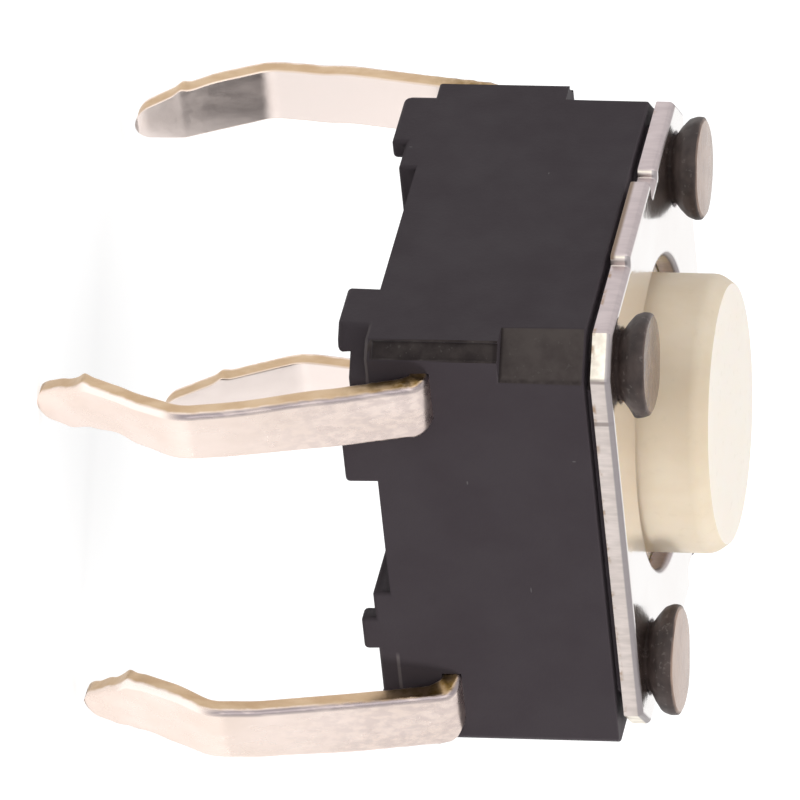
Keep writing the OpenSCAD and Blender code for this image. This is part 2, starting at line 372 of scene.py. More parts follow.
def moulded_plastic():
    """Charcoal thermoplastic with a fine matt skin; the chamfered corner between -X and +Y has an olive
    cast, darker below its shelf, with painted shadow lines along its shelf and its edge.
    """
    material, tree, skin = new_material("moulded_base")
    where = place_in_mm(tree)
    height = axis_value(tree, where, 2)
    shade = mottled(tree, 1.6, (0.052, 0.042, 0.048), (0.060, 0.050, 0.056))

    corner = node(tree, "VectorMath", {0: facing(tree), 1: (-math.sqrt(0.5), math.sqrt(0.5), 0)},
                  operation="DOT_PRODUCT").outputs["Value"]
    on_corner = overlap(tree, fade(tree, corner, 0.9, 0.99), fade(tree, height, *CORNER_FOOT))
    upper = fade(tree, height, *CORNER_UPPER)
    olive = mottled(tree, 0.3, (0.066, 0.053, 0.051), (0.091, 0.076, 0.071))
    # Below the shelf the corner is darker
    below_shelf_tone = mottled(tree, 0.3, (0.031, 0.024, 0.024), (0.066, 0.054, 0.051))
    shade = blend_colour(tree, on_corner, shade, blend_colour(tree, upper, below_shelf_tone, olive))
    specks = fade(tree, mottle(tree, 0.07), 0.93, 1.0, 0.0, 0.35)
    shade = blend_colour(tree, overlap(tree, specks, on_corner), shade, colour(0.13, 0.12, 0.11))
    # Painted shade: dark lines at the corner's shelf and along its edge
    shadow_lines = overlap(tree, corner_shadow_lines(tree, where, upper), on_corner)
    shade = blend_colour(tree, shadow_lines, shade, colour(0.028, 0.021, 0.021))

    # Painted highlight: a pale line on the block's lower edge beside each lead
    shade = blend_colour(tree, lead_edge_highlights(tree, where), shade, colour(0.15, 0.13, 0.13))
    for spot, reach in MARKS:
        shade = blend_colour(tree, mark(tree, where, spot, reach), shade, colour(*SCRATCH_AND_EDGE_LIGHT))
    # Worn edges lightened, partly as a painted highlight along the edges
    rubbed_and_highlit = use_group(tree, WORN_AND_HIGHLIT_EDGE, Radius=0.03 * MM, Patchiness=0.7)
    shade = blend_colour(tree, overlap(tree, rubbed_and_highlit, 0.3), shade, colour(*SCRATCH_AND_EDGE_LIGHT))
    plug(tree, skin["Base Color"], shade)
    plug(tree, skin["Roughness"], mottle(tree, 0.5, Low=0.52, High=0.64))
    skin["Specular IOR Level"].default_value = 0.1
    plug(tree, skin["Normal"], grain(tree, 0.05, 0.003))
    return material


def formed_plastic():
    """The heat-formed heads: dark melted sides with paler chips, and a smooth pressed flat painted pale as
    a reflection of the light above.
    """
    material, tree, skin = new_material("formed_heads")
    # Painted reflection: the pressed flat is painted pale, as the light above reflects in it
    top = fade(tree, axis_value(tree, facing(tree), 2), 0.75, 0.95)
    side = mottled(tree, 0.25, (0.031, 0.021, 0.019), (0.066, 0.047, 0.042))
    chips = fade(tree, mottle(tree, 0.09), 0.85, 1.0, 0.0, 0.5)
    side = blend_colour(tree, chips, side, colour(0.16, 0.135, 0.125))
    reflection_tone = node(tree, "Attribute", attribute_name="pressed").outputs["Fac"]
    reflection_tone = maths(tree, "ADD", reflection_tone, mottle(tree, 0.3, Low=-0.15, High=0.15))
    pressed = blend_colour(tree, reflection_tone, colour(0.09, 0.055, 0.045), colour(0.46, 0.31, 0.235))
    plug(tree, skin["Base Color"], blend_colour(tree, top, side, pressed))
    plug(tree, skin["Roughness"], fade(tree, top, 0.0, 1.0, 0.5, 0.17))
    skin["Specular IOR Level"].default_value = 0.35
    plug(tree, skin["Normal"], grain(tree, 0.12, 0.007))
    return material


# Heights on a lead, in mm. In a pair, a feature is absent at the first and full at the second.
NEAR_BODY = (-1.6, 0.6)                 # scuffed, with more of the cut sides torn
LINE_ABOVE = (-2.05, -1.75)             # blue-grey line on the rounded edge
HIGHLIGHT_BELOW = (-1.9, -2.1)             # painted highlight on the same edge, from the kink to the burr
HIGHLIGHT_ABOVE = (-3.2, -3.05)
TARNISH_ABOVE = (-0.1, 0.9)
# Places across a lead, as shares of its half width or, for a face, of its half thickness
ROUNDED_EDGE = (0.76, 0.84)
LINE_DEEPENS = (0.80, 0.92)
CUT_SIDE = (0.93, 0.985)
ROUNDED_FACE = (0.5, 0.75)
OUTER_FACE = (0.2, 0.7)
INNER_FACE = (-1.05, -0.7)              # towards it, the gold of the cut sides fades


def rounded_edge_lines(tree, tin, across, depth, height):
    """Draws the blue-grey line and a painted highlight along the rounded edge on the +Y side."""
    edge = overlap(tree, fade(tree, across, *ROUNDED_EDGE), fade(tree, depth, *ROUNDED_FACE))
    streak = fade(tree, mottle(tree, 0.09, Stretch=9.0), 0.0, 0.5, 0.7, 1.0)
    line = overlap(tree, edge, fade(tree, height, *LINE_ABOVE), streak,
                   fade(tree, across, *LINE_DEEPENS, 0.55, 1.0))
    tin = blend_colour(tree, line, tin, colour(0.33, 0.28, 0.285))
    # Painted highlight: a bright line where the rounded edge would catch the light
    bright = overlap(tree, edge, fade(tree, height, *HIGHLIGHT_BELOW), fade(tree, height, *HIGHLIGHT_ABOVE))
    return blend_colour(tree, bright, tin, colour(0.98, 0.90, 0.83))


def golden_sides(tree, out, depth, height, near_body):
    """The mask and the colour of the bare metal on the torn part of a lead's cut sides."""
    torn_to = maths(tree, "ADD", fade(tree, near_body, 0.0, 1.0, 0.5, 0.75),
                    mottle(tree, 0.15, Low=-0.08, High=0.08))
    torn = fade(tree, maths(tree, "SUBTRACT", torn_to, depth), -0.25, 0.25)
    cut = overlap(tree, torn, fade(tree, depth, *INNER_FACE, 0.4, 1.0), fade(tree, out, *CUT_SIDE))
    gold = mottled(tree, 0.2, (0.52, 0.36, 0.22), (0.61, 0.45, 0.295), Stretch=2.0)
    tarnish = overlap(tree, fade(tree, height, *TARNISH_ABOVE), mottle(tree, 0.12, Low=0.3))
    return cut, blend_colour(tree, tarnish, gold, colour(0.20, 0.12, 0.03))


def tinned_strip():
    """Tin-plated strip. The torn part of its cut sides shows golden metal, darkest beside the body."""
    material, tree, skin = new_material("tinned_strip")
    across = node(tree, "Attribute", attribute_name="across").outputs["Fac"]
    depth = node(tree, "Attribute", attribute_name="depth").outputs["Fac"]
    outer = fade(tree, depth, *OUTER_FACE)
    height = axis_value(tree, place_in_mm(tree), 2)
    near_body = fade(tree, height, *NEAR_BODY)
    tin = mottled(tree, 0.5, (0.87, 0.73, 0.65), (0.95, 0.81, 0.74), Stretch=3.0)
    tin = blend_colour(tree, outer, colour(0.95, 0.84, 0.79), tin)
    scuffs = fade(tree, mottle(tree, 0.09, Stretch=2.0), 0.0, 1.0, 0.15, 0.6)
    tin = blend_colour(tree, overlap(tree, scuffs, near_body, outer), tin, colour(0.60, 0.50, 0.48))
    tin = rounded_edge_lines(tree, tin, across, depth, height)
    cut, gold = golden_sides(tree, maths(tree, "ABSOLUTE", across), depth, height, near_body)
    plug(tree, skin["Base Color"], blend_colour(tree, cut, tin, gold))
    skin["Metallic"].default_value = 1.0
    polish = mottle(tree, 0.2, Stretch=3.0, Low=0.24, High=0.34)
    plug(tree, skin["Roughness"], maths(tree, "ADD", polish, fade(tree, outer, 0.0, 1.0, 0.07, 0.0)))
    plug(tree, skin["Normal"], grain(tree, 0.12, 0.003, Stretch=2.0))
    return material


# Places on the plate, in mm. In a pair, a feature is absent at the first and full at the second.
NICK_AND_SHADOW_LINE_Y = (2.53, 1.90)                  # where along Y two dark lines cross the sheared sides: the first, at a cut corner's edge, is a painted shadow line, the second a small nick
DARK_LINE_HALF = (0.045, 0.015)              # half of such a line's width
RUST_BELOW = (3.26, 3.22)               # heights: rusty burr low on the sheared sides
TORN_BELOW = (3.28, 3.23)               # torn lower half of the sheared tabs' ends
ROLLED_ABOVE = (3.3, 3.34)              # darker die roll along the upper edges
TAB_END = (3.04, 3.07)                  # along Y, either way


def plated_sheet():
    """Bright plated sheet: a shiny face, rolled upper edges and sheared sides with nicks and burrs; the
    sides carry painted light and shade, a painted reflection and a painted shadow line.
    """
    material, tree, skin = new_material("plated_sheet")
    where = place_in_mm(tree)
    across_y = axis_value(tree, where, 1)
    height = axis_value(tree, where, 2)
    normal = facing(tree)
    rise = maths(tree, "ABSOLUTE", axis_value(tree, normal, 2))
    edge = fade(tree, rise, 0.985, 0.88)
    face = mottled(tree, 1.2, (0.95, 0.905, 0.88), (0.985, 0.955, 0.935))

    flat_normal = node(tree, "VectorMath", {0: normal, 1: (1, 1, 0)}, operation="MULTIPLY").outputs[0]
    level = node(tree, "VectorMath", {0: flat_normal}, operation="NORMALIZE").outputs[0]
    size = node(tree, "VectorMath", {0: level}, operation="ABSOLUTE").outputs[0]
    long_side = fade(tree, axis_value(tree, size, 0), 0.3, 0.6)
    # Painted light and shade: sides facing X are painted lighter than sides facing Y
    shaded_y_sides = mottled(tree, 0.07, (0.48, 0.41, 0.415), (0.545, 0.47, 0.47), Stretch=5.0)
    lit_x_sides = mottled(tree, 0.07, (0.57, 0.505, 0.475), (0.68, 0.605, 0.57), Stretch=5.0)
    sheared = blend_colour(tree, long_side, shaded_y_sides, lit_x_sides)
    least = maths(tree, "MINIMUM", axis_value(tree, size, 0), axis_value(tree, size, 1))
    # Painted reflection: the cut corners' facets are painted pale, as if they mirrored a lamp
    cut_corner_reflection = mottled(tree, 0.16, (0.72, 0.655, 0.56), (0.93, 0.87, 0.76))
    sheared = blend_colour(tree, fade(tree, least, 0.55, 0.66), sheared, cut_corner_reflection)

    specks = mottle(tree, 0.2, Low=-1.4, High=0.9)
    rust = maths(tree, "MULTIPLY", fade(tree, height, *RUST_BELOW), specks, clamp=True)
    sheared = blend_colour(tree, rust, sheared, colour(0.34, 0.22, 0.14))
    # Painted shadow line at the cut corner's edge, and a nick
    for line_y in NICK_AND_SHADOW_LINE_Y:
        off = maths(tree, "ABSOLUTE", maths(tree, "SUBTRACT", across_y, line_y))
        dark_line = fade(tree, off, *DARK_LINE_HALF, 0.0, 0.75)
        sheared = blend_colour(tree, dark_line, sheared, colour(0.24, 0.20, 0.19))
    tab_end = fade(tree, maths(tree, "ABSOLUTE", across_y), *TAB_END)
    torn = overlap(tree, tab_end, fade(tree, height, *TORN_BELOW))
    sheared = blend_colour(tree, torn, sheared, colour(0.22, 0.16, 0.12))
    rolled = overlap(tree, fade(tree, rise, 0.1, 0.3), fade(tree, height, *ROLLED_ABOVE),
                     fade(tree, long_side, 0.0, 1.0, 0.15, 0.9))
    sheared = blend_colour(tree, rolled, sheared, colour(0.33, 0.30, 0.31))

    plug(tree, skin["Base Color"], blend_colour(tree, edge, face, sheared))
    skin["Metallic"].default_value = 1.0
    plug(tree, skin["Roughness"], fade(tree, edge, 0.0, 1.0, 0.13, 0.42))
    plug(tree, skin["Normal"], grain(tree, 0.1, 0.003, Stretch=4.0))
    return material


def ivory_plastic():
    """Slightly translucent ivory moulding with faint flow clouds; its end is painted paler, as lit from
    above.
    """
    material, tree, skin = new_material("ivory_button")
    shade = mottled(tree, 1.0, (0.75, 0.625, 0.465), (0.82, 0.71, 0.56), Stretch=1.6)
    # Painted light: the button's end is painted paler, where the light from above falls
    end = fade(tree, axis_value(tree, facing(tree), 2), 0.6, 0.95)
    shade = blend_colour(tree, end, shade, colour(0.99, 0.885, 0.785))
    specks = fade(tree, mottle(tree, 0.14), 0.9, 1.0, 0.0, 0.12)
    shade = blend_colour(tree, specks, shade, colour(0.62, 0.52, 0.38))
    plug(tree, skin["Base Color"], shade)
    skin["Subsurface Weight"].default_value = 0.35
    skin["Subsurface Radius"].default_value = (1.0, 0.75, 0.45)
    skin["Subsurface Scale"].default_value = 0.35 * MM
    plug(tree, skin["Roughness"], mottle(tree, 0.6, Low=0.38, High=0.52))
    plug(tree, skin["Normal"], grain(tree, 0.18, 0.003))
    return material


def spring_steel():
    """Thin bright spring steel."""
    material, tree, skin = new_material("spring_steel")
    plug(tree, skin["Base Color"], mottled(tree, 0.4, (0.52, 0.51, 0.50), (0.66, 0.65, 0.63)))
    skin["Metallic"].default_value = 1.0
    plug(tree, skin["Roughness"], mottle(tree, 0.15, Low=0.2, High=0.34))
    plug(tree, skin["Normal"], grain(tree, 0.05, 0.001))
    return material


HOUSING_SKIN = moulded_plastic()
HEAD_SKIN = formed_plastic()
STRIP_SKIN = tinned_strip()
PLATE_SKIN = plated_sheet()
BUTTON_SKIN = ivory_plastic()
DOME_SKIN = spring_steel()


# ---------------------------------------------------------------- mesh helpers
SAME_PLACE = 1e-8                       # places nearer than this count as one
MERGE_WITHIN = 1e-7                     # points nearer than this are merged


def merged_copy(name):
    """The mesh of a CAD node, merged, with its flat faces whole."""
    bm = bmesh.new()
    bm.from_mesh(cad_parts[name].data)
    bmesh.ops.remove_doubles(bm, verts=bm.verts, dist=MERGE_WITHIN)
    bmesh.ops.dissolve_limit(bm, angle_limit=math.radians(0.5), verts=bm.verts, edges=bm.edges)
    return bm


def cut_away(bm, point, direction, fill=False):
    """Cuts off what lies beyond a point in a direction, and closes the mesh there if asked."""
    cut = bmesh.ops.bisect_plane(bm, geom=bm.verts[:] + bm.edges[:] + bm.faces[:], dist=SAME_PLACE,
                                 plane_co=point, plane_no=direction, clear_outer=True)
    if fill:
        rims = [e for e in cut["geom_cut"] if isinstance(e, bmesh.types.BMEdge)]
        bmesh.ops.holes_fill(bm, edges=rims, sides=0)


def even_shading(piece):
    """Keeps the large flat faces of a piece evenly shaded beside its small rounded ones."""
    piece.modifiers.new("even_shading", "WEIGHTED_NORMAL").keep_sharp = True


def finish_piece(bm, name, body, material, smooth_angle=35, soft_layer=None):
    """Makes an object of the mesh and lets it ride on its body.

    It is smooth except across edges sharper than smooth_angle, in degrees. Edges with a value in
    soft_layer stay smooth too."""
    mesh = bpy.data.meshes.new(name)
    for face in bm.faces:
        face.smooth = True
    for edge in bm.edges:
        flat = not edge.is_manifold or edge.calc_face_angle(0) < math.radians(smooth_angle)
        edge.smooth = flat or (soft_layer is not None and edge[soft_layer] > 0)
    bm.to_mesh(mesh)
    bm.free()
    piece = bpy.data.objects.new(name, mesh)
    mesh.materials.append(material)
    bpy.context.collection.objects.link(piece)
    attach(piece, body)
    return piece


def rounded(points, radii, steps=6):
    """A line through the points, with each corner rounded to its radius. Radii go with the points."""
    line = [points[0]]
    for before, corner, after, radius in zip(points, points[1:], points[2:], radii[1:]):
        if radius <= 0:
            line.append(corner)
            continue
        u, v = (corner - before).normalized(), (after - corner).normalized()
        turn = math.acos(max(-1, min(1, u.dot(v))))
        reach = radius * math.tan(turn / 2)
        side = 1 if u.x * v.y - u.y * v.x > 0 else -1
        start = corner - u * reach
        centre = start + Vector((-u.y, u.x)) * side * radius
        for i in range(steps + 1):
            line.append(centre + Matrix.Rotation(side * turn * i / steps, 2) @ (start - centre))
    line.append(points[-1])
    return line


def spun(profile, steps=96):
    """A solid of revolution about Z. The profile's points are (radius, height), from axis to axis."""
    bm = bmesh.new()
    corners = [bm.verts.new((p.x, 0, p.y)) for p in profile]
    edges = [bm.edges.new(pair) for pair in zip(corners, corners[1:])]
    bmesh.ops.spin(bm, geom=corners + edges, axis=(0, 0, 1), cent=(0, 0, 0), angle=TURN, steps=steps,
                   use_merge=True)
    bmesh.ops.remove_doubles(bm, verts=bm.verts, dist=SAME_PLACE)
    bmesh.ops.recalc_face_normals(bm, faces=bm.faces)
    return bm


# ---------------------------------------------------------------- housing
BODY_TOP = 3.12 * MM
FOOT_HEIGHT = 0.4 * MM
SHELF_Z = 2.06 * MM                     # where the larger corner chamfers start
FOOT_ROUND = 0.06 * MM
BLOCK_ROUND = 0.03 * MM
LIP_END_ROUND = 0.12 * MM               # lower corner at the end of the long feet's lips
LIP_END_X = (2.55 * MM, 2.7 * MM)       # where those corners are, along X and beyond a Y
LIP_END_Y = 2.8 * MM
WINDOW_Z = (0.9 * MM, 1.25 * MM)        # heights of the slots that the leads come out of
WINDOW_DEPTH = 0.1 * MM
CORNER_DEPTH = 0.55 * MM                # how far in the sunk lower corners are left sharp
BLOCK_DEPTH = 0.26 * MM                 # deeper than this inside the block, nothing is rounded
SLACK = 0.01 * MM                       # keeps a limit clear of the faces at it
SHARP_TURN = math.radians(20)           # bends of less than this aren't edges


def edge_weight(edge):
    """How much of LIP_END_ROUND an edge of the base gets: less on the feet, least on the block."""
    if not edge.is_manifold or edge.calc_face_angle_signed(0) < SHARP_TURN:
        return 0.0
    middle = (edge.verts[0].co + edge.verts[1].co) / 2
    out_x = abs(middle.x)
    if middle.z < FOOT_HEIGHT - SLACK:
        lip_end = middle.y > LIP_END_Y and LIP_END_X[0] < out_x < LIP_END_X[1] and middle.z < SLACK
        return 1.0 if lip_end else FOOT_ROUND / LIP_END_ROUND
    inside = max(out_x, abs(middle.y)) < HALF_BODY - BLOCK_DEPTH
    window = out_x > HALF_BODY - WINDOW_DEPTH and WINDOW_Z[0] < middle.z < WINDOW_Z[1]
    sunk_corner = (min(middle.y, out_x) > HALF_BODY - CORNER_DEPTH
                   and FOOT_HEIGHT + SLACK < middle.z < SHELF_Z + SLACK)
    if inside or window or sunk_corner or middle.z > BODY_TOP + SLACK:
        return 0.0
    return BLOCK_ROUND / LIP_END_ROUND


def build_housing():
    """The moulded base up to the plate's top, with eased edges. The heads are pieces of their own."""
    bm = merged_copy("housing")
    cut_away(bm, (0, 0, PLATE_TOP - SLACK), (0, 0, 1), fill=True)
    weight = bm.edges.layers.float.new("bevel_weight_edge")
    for edge in bm.edges:
        edge[weight] = edge_weight(edge)
    piece = finish_piece(bm, "housing_base", "base", HOUSING_SKIN, soft_layer=weight)
    ease = piece.modifiers.new("eased_edges", "BEVEL")
    ease.limit_method = "WEIGHT"
    ease.width = LIP_END_ROUND
    ease.segments = 3
    ease.use_clamp_overlap = False
    even_shading(piece)
    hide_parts("housing")


# Each formed head: its side of the plate, its width against the nominal one, how far it leans along
# Y, the direction and size of the bead of plastic that was pressed out of its side, and how strong
# the painted reflection on its pressed flat is
HEADS = {
    "near": (-1, 1, 0.97, 0.02 * MM, math.radians(238), 0.10 * MM, 0.2),
    "far": (1, 1, 0.98, 0.02 * MM, math.radians(150), 0.0, 0.8),
    "low": (-1, -1, 1.06, -0.035 * MM, math.radians(60), 0.0, 0.95),
    "back": (1, -1, 1.0, 0.0, math.radians(-40), 0.03 * MM, 0.6),
}
HEAD_WANDER = 0.014 * MM                # how far a head's outline strays from round
HEAD_SHIFT_OVER = 0.15 * MM             # height over which a head takes up its width and its lean
HEAD_FLAT = 0.37 * MM                   # heights above this are the pressed flat
FLAT_SINK, FLAT_WAVE = 0.005 * MM, 0.006 * MM   # how far the flat sinks in, and how far it waves
BEAD_OUT, BEAD_HEIGHT = 0.57 * MM, 0.2 * MM   # where a bead sits, from the head's axis and the plate
BEAD_SPREAD = 0.09 * MM


def head_profile():
    """Half section of a head: neck, rounded flank, rim and flat."""
    points = [Vector(p) * MM for p in (
        (0, -0.1), (0.43, -0.1), (0.43, 0.02), (0.533, 0.094), (0.626, 0.178), (0.663, 0.28),
        (0.655, 0.345), (0.61, 0.38), (0, 0.38))]
    radii = [0, 0, 0.05 * MM, 0.15 * MM, 0.12 * MM, 0.1 * MM, 0.04 * MM, 0.015 * MM, 0]
    return rounded(points, radii, steps=4)


def shape_head(bm, width, lean, bead_at, bead, seed):
    """Makes a round head uneven: wider or narrower, leaning, wavy, and with its bead."""
    middle = Vector((math.cos(bead_at) * BEAD_OUT, math.sin(bead_at) * BEAD_OUT, BEAD_HEIGHT))
    for vertex in bm.verts:
        place = vertex.co.copy()
        share = min(1.0, max(0.0, place.z / HEAD_SHIFT_OVER))
        side = Vector((place.x, place.y, 0))
        outward = side.normalized()
        stray = noise.noise(place / MM * 3.0 + seed) * HEAD_WANDER
        stray += noise.noise(place / MM * 9.0 + seed) * HEAD_WANDER * 0.4
        away = (place - middle).length / BEAD_SPREAD
        bulge = bead * math.exp(-away * away)
        share_out = side.length / HEAD_RADIUS
        grow = (width - 1) * share * side.length + (stray + bulge) * share * share_out
        vertex.co += outward * grow
        vertex.co.y += lean * share
        if place.z > HEAD_FLAT:
            vertex.co.z += noise.noise(place / MM * 2.2 + seed) * FLAT_WAVE - FLAT_SINK


def build_heads():
    """The four post ends that are formed over the plate, each as a piece of its own."""
    for name, (side_x, side_y, width, lean, bead_at, bead, reflection_tone) in HEADS.items():
        bm = spun(head_profile())
        pressed = bm.verts.layers.float.new("pressed")
        for vertex in bm.verts:
            vertex[pressed] = reflection_tone
        shape_head(bm, width, lean, bead_at, bead, Vector((side_x * 7.0, side_y * 5.0, 0.0)))
        bmesh.ops.translate(bm, verts=bm.verts, vec=(side_x * POST_X, side_y * POST_Y, PLATE_TOP))
        finish_piece(bm, "post_head_" + name, "base", HEAD_SKIN, smooth_angle=38)


# ---------------------------------------------------------------- terminals
# Each lead, in mm: the heights of its kink, of the burr where its taper starts and of its tip, and
# how far its -Y and its +Y side stand off the plain strip along Y, at heights from the body to the tip
LEADS = {
    ("outer_terminal", -1): (-1.84, -3.13, -3.80, (
        (1.0, -0.085, -0.03), (-0.1, -0.13, -0.08), (-1.2, -0.14, -0.147), (-1.84, -0.12, -0.14),
        (-2.4, -0.085, -0.157), (-2.7, -0.015, -0.135), (-3.05, -0.06, -0.125), (-3.4, -0.21, -0.22),
        (-3.7, -0.24, -0.29), (-3.8, -0.24, -0.28))),
    ("outer_terminal", 1): (-1.98, -3.03, -3.60, (
        (1.0, 0.03, 0.09), (-0.8, 0.015, 0.085), (-1.4, -0.03, 0.03), (-2.0, -0.05, 0.0),
        (-2.6, -0.05, 0.0), (-3.0, -0.05, -0.04), (-3.6, -0.03, -0.05))),
    ("centre_terminal", -1): (-1.84, -2.99, -3.66, (
        (1.0, -0.19, -0.135), (-0.1, -0.21, -0.135), (-1.2, -0.17, -0.13), (-1.84, -0.12, -0.08),
        (-2.4, -0.085, -0.01), (-2.75, -0.05, -0.01), (-3.0, -0.07, -0.05), (-3.25, -0.14, -0.17),
        (-3.5, -0.17, -0.27), (-3.66, -0.17, -0.27))),
    ("centre_terminal", 1): (-2.0, -2.96, -3.70, (
        (1.0, 0.03, 0.08), (-1.5, 0.03, 0.06), (-2.0, 0.03, 0.05), (-3.7, 0.03, 0.03))),
}
STRIP_OUTER_ROUND = 0.06 * MM           # edges of the strip on its outer and its inner face
STRIP_INNER_ROUND = 0.02 * MM
LEAD_GAP, TAPER_GAP = 0.06 * MM, 0.02 * MM   # between sections, above and on a lead's taper
TAPER_START = 0.1 * MM                  # how far above the burr the closer sections start
LEAD_SPARE = 0.08 * MM                  # drawn past the tip and cut off
TIP_END = 0.003 * MM                    # flat left at the very end of a lead's round tip
BURR_OUT = 0.035 * MM                   # how far the burr stands out, and how far it spreads
BURR_SPREAD = 0.07 * MM
CUT_FROM = 0.9                          # share of the half width where a cut side begins
SIDE_WAVE, TORN_WAVE = 0.004, 0.03      # waves of the cut sides, in mm, and finer ones by the body
SHIFT_OUT = 0.25 * MM                   # how far out and down from the body a lead takes up its shift
SHIFT_DOWN = 0.3 * MM


def between(rows, z):
    """The two values of a table of (height, value, value) rows, highest first, at a height."""
    if z >= rows[0][0]:
        return rows[0][1:]
    for (upper, *high), (lower, *low) in zip(rows, rows[1:]):
        if z >= lower:
            share = (z - lower) / (upper - lower)
            share = share * share * (3 - 2 * share)
            return [a * share + b * (1 - share) for a, b in zip(high, low)]
    return rows[-1][1:]


def lead_half_width(z, burr_z, tip_z):
    """Half width of a lead at a height: straight, then tapered, then the round end."""
    half = STRIP_WIDTH / 2
    blend_z = TIP_RADIUS * (1 - math.sin(TIP_BLEND)) + tip_z
    blend_half = TIP_RADIUS * math.cos(TIP_BLEND)
    if z > burr_z:
        return half
    if z > blend_z:
        return blend_half + (half - blend_half) * (z - blend_z) / (burr_z - blend_z)
    up = z - (TIP_RADIUS + tip_z)
    return math.sqrt(max(TIP_RADIUS ** 2 - up ** 2, 0))


def lead_line(kink_z, burr_z, tip_z):
    """Points along the middle of a lead, in its XZ plane, close enough together for the taper."""
    kink = Vector((LEAD_KINK_X, kink_z))
    tip = Vector((LEAD_KINK_X - TIP_SLOPE * (kink_z - tip_z), tip_z))
    tail = (tip - kink).normalized() * LEAD_SPARE
    corners = [Vector((LEAD_START_X, STRIP_MIDDLE_Z)), Vector((LEAD_ROOT_X, STRIP_MIDDLE_Z)),
               kink, tip + tail]
    coarse = rounded(corners, [0, BEND_RADIUS, KINK_RADIUS, 0], steps=10)
    line = [coarse[0]]
    for start, end in zip(coarse, coarse[1:]):
        gap = TAPER_GAP if end.y < burr_z + TAPER_START else LEAD_GAP
        count = max(1, math.ceil((end - start).length / gap))
        line += [start.lerp(end, (i + 1) / count) for i in range(count)]
    return line


def strip_section(bm):
    """The strip's section in the XY plane: X is its thickness, outer face at +X, and Y its width."""
    made = bmesh.ops.create_grid(bm, x_segments=1, y_segments=1, size=0.5)
    bmesh.ops.scale(bm, verts=made["verts"], vec=(STRIP_THICK, STRIP_WIDTH, 1))
    for outer, radius in ((True, STRIP_OUTER_ROUND), (False, STRIP_INNER_ROUND)):
        corners = [v for v in bm.verts
                   if (v.co.x > 0) == outer and abs(abs(v.co.y) - STRIP_WIDTH / 2) < SAME_PLACE]
        bmesh.ops.bevel(bm, geom=corners, offset=radius, offset_type="OFFSET", affect="VERTICES",
                        segments=4, profile=0.5, material=-1)
    across = bm.verts.layers.float.new("across")
    depth = bm.verts.layers.float.new("depth")
    for vertex in bm.verts:
        vertex[across] = vertex.co.y / (STRIP_WIDTH / 2)
        vertex[depth] = vertex.co.x / (STRIP_THICK / 2)
    return next(iter(bm.faces))


def shape_sides(bm, burr_z, tip_z, offsets):
    """Draws a straight lead's sides in to the tip, shifts them, and leaves the marks of shearing."""
    across = bm.verts.layers.float["across"]
    for vertex in bm.verts:
        place = vertex.co.copy()
        out = vertex[across]
        vertex.co.y = out * lead_half_width(place.z, burr_z, tip_z)
        if abs(out) > CUT_FROM:
            mm = place / MM + Vector((0, 20 * tip_z / MM, 0))
            rough = min(1.0, max(0.0, mm.z - 0.1) * 1.5) * TORN_WAVE
            wave = (noise.noise(mm * 4.0) * SIDE_WAVE + noise.noise(mm * 13.0) * rough) * MM
            burr = BURR_OUT * math.exp(-((place.z - burr_z) / BURR_SPREAD) ** 2) if out > 0 else 0
            vertex.co.y += math.copysign(wave, out) + burr
        turned_out = (place.x - HALF_BODY) / SHIFT_OUT
        turned_down = (STRIP_MIDDLE_Z - place.z) / SHIFT_DOWN
        bent = min(1.0, max(0.0, turned_out, turned_down))
        low, high = between(offsets, place.z / MM)
        vertex.co.y += (low + (high - low) * (out + 1) / 2) * MM * bent


def swept_lead(y, side, form):
    """One lead: the strip's section carried along the lead's line, on the given X side."""
    bm = bmesh.new()
    face = strip_section(bm)
    kink_z, burr_z, tip_z = (height * MM for height in form[:3])
    line = lead_line(kink_z, burr_z, tip_z)
    placed = Matrix.Identity(4)
    for i, point in enumerate(line):
        heading = (line[min(i + 1, len(line) - 1)] - line[max(i - 1, 0)]).normalized()
        outward = Vector((-heading.y, heading.x))
        goal = Matrix(((outward.x, 0, heading.x, point.x), (0, 1, 0, 0),
                       (outward.y, 0, heading.y, point.y), (0, 0, 0, 1)))
        if i:
            grown = bmesh.ops.extrude_face_region(bm, geom=[face] + face.edges[:])["geom"]
            face = next(f for f in grown if isinstance(f, bmesh.types.BMFace))
        bmesh.ops.transform(bm, matrix=goal @ placed.inverted(), verts=face.verts[:])
        placed = goal
    cut_away(bm, (0, 0, tip_z + TIP_END), (0, 0, -1), fill=True)
    shape_sides(bm, burr_z, tip_z, form[3])
    bmesh.ops.scale(bm, verts=bm.verts, vec=(side, 1, 1))
    bmesh.ops.translate(bm, verts=bm.verts, vec=(0, y, 0))
    bmesh.ops.recalc_face_normals(bm, faces=bm.faces)
    return bm


def build_terminal(name, y):
    """One strip: its part inside the body as in the solid, and two leads swept in their own forms."""
    bm = merged_copy(name)
    bm.verts.layers.float.new("across")
    bm.verts.layers.float.new("depth")
    for side in (-1, 1):
        cut_away(bm, (side * LEAD_START_X, 0, 0), (side, 0, 0))
    # The leads' tips come back in past the cuts
    bmesh.ops.delete(bm, geom=[v for v in bm.verts if v.co.z < 0], context="VERTS")
    bmesh.ops.holes_fill(bm, edges=[e for e in bm.edges if e.is_boundary], sides=0)
    for side in (-1, 1):
        lead = swept_lead(y, side, LEADS[name, side])
        holder = bpy.data.meshes.new("lead")
        lead.to_mesh(holder)
        lead.free()
        bm.from_mesh(holder)
        bpy.data.meshes.remove(holder)
    piece = finish_piece(bm, name + "_strip", "base", STRIP_SKIN, smooth_angle=50)
    even_shading(piece)
    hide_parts(name)


